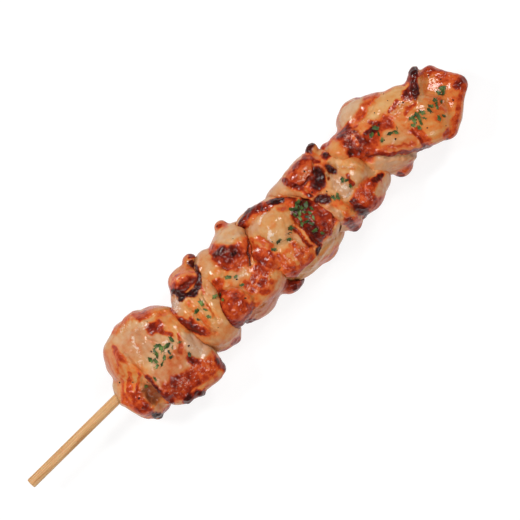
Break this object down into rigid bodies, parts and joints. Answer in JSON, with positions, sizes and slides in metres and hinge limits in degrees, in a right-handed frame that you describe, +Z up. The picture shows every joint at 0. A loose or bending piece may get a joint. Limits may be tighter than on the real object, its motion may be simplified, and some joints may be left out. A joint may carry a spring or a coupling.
{
  "type": "grilled chicken kebab skewer",
  "caption": "Folded pieces of grilled chicken thigh packed along a thin round wooden stick whose bare end is the handle, browned and charred at the edges and sprinkled with parsley.",
  "frame": {"origin": "on the table under the middle of the whole kebab's bounding box", "axes": "+X along the stick from the bare handle end to the meat's tip, +Y across it in the table's plane, +Z up from the table to the shown side"},
  "size_m": [0.1978, 0.0384, 0.0267],
  "materials": {
    "stick": "bare planed wood, matt",
    "chicken_1": "moist roasted meat, semi-gloss",
    "chicken_2": "moist roasted meat, semi-gloss",
    "chicken_3": "moist roasted meat, semi-gloss",
    "chicken_4": "moist roasted meat, semi-gloss",
    "chicken_5": "moist roasted meat, semi-gloss",
    "chicken_6": "moist roasted meat, semi-gloss"
  },
  "bodies": {
    "root": {"stick": "stick", "chicken_1": "chicken_1", "chicken_2": "chicken_2", "chicken_3": "chicken_3", "chicken_4": "chicken_4", "chicken_5": "chicken_5", "chicken_6": "chicken_6"}
  },
  "joints": []
}
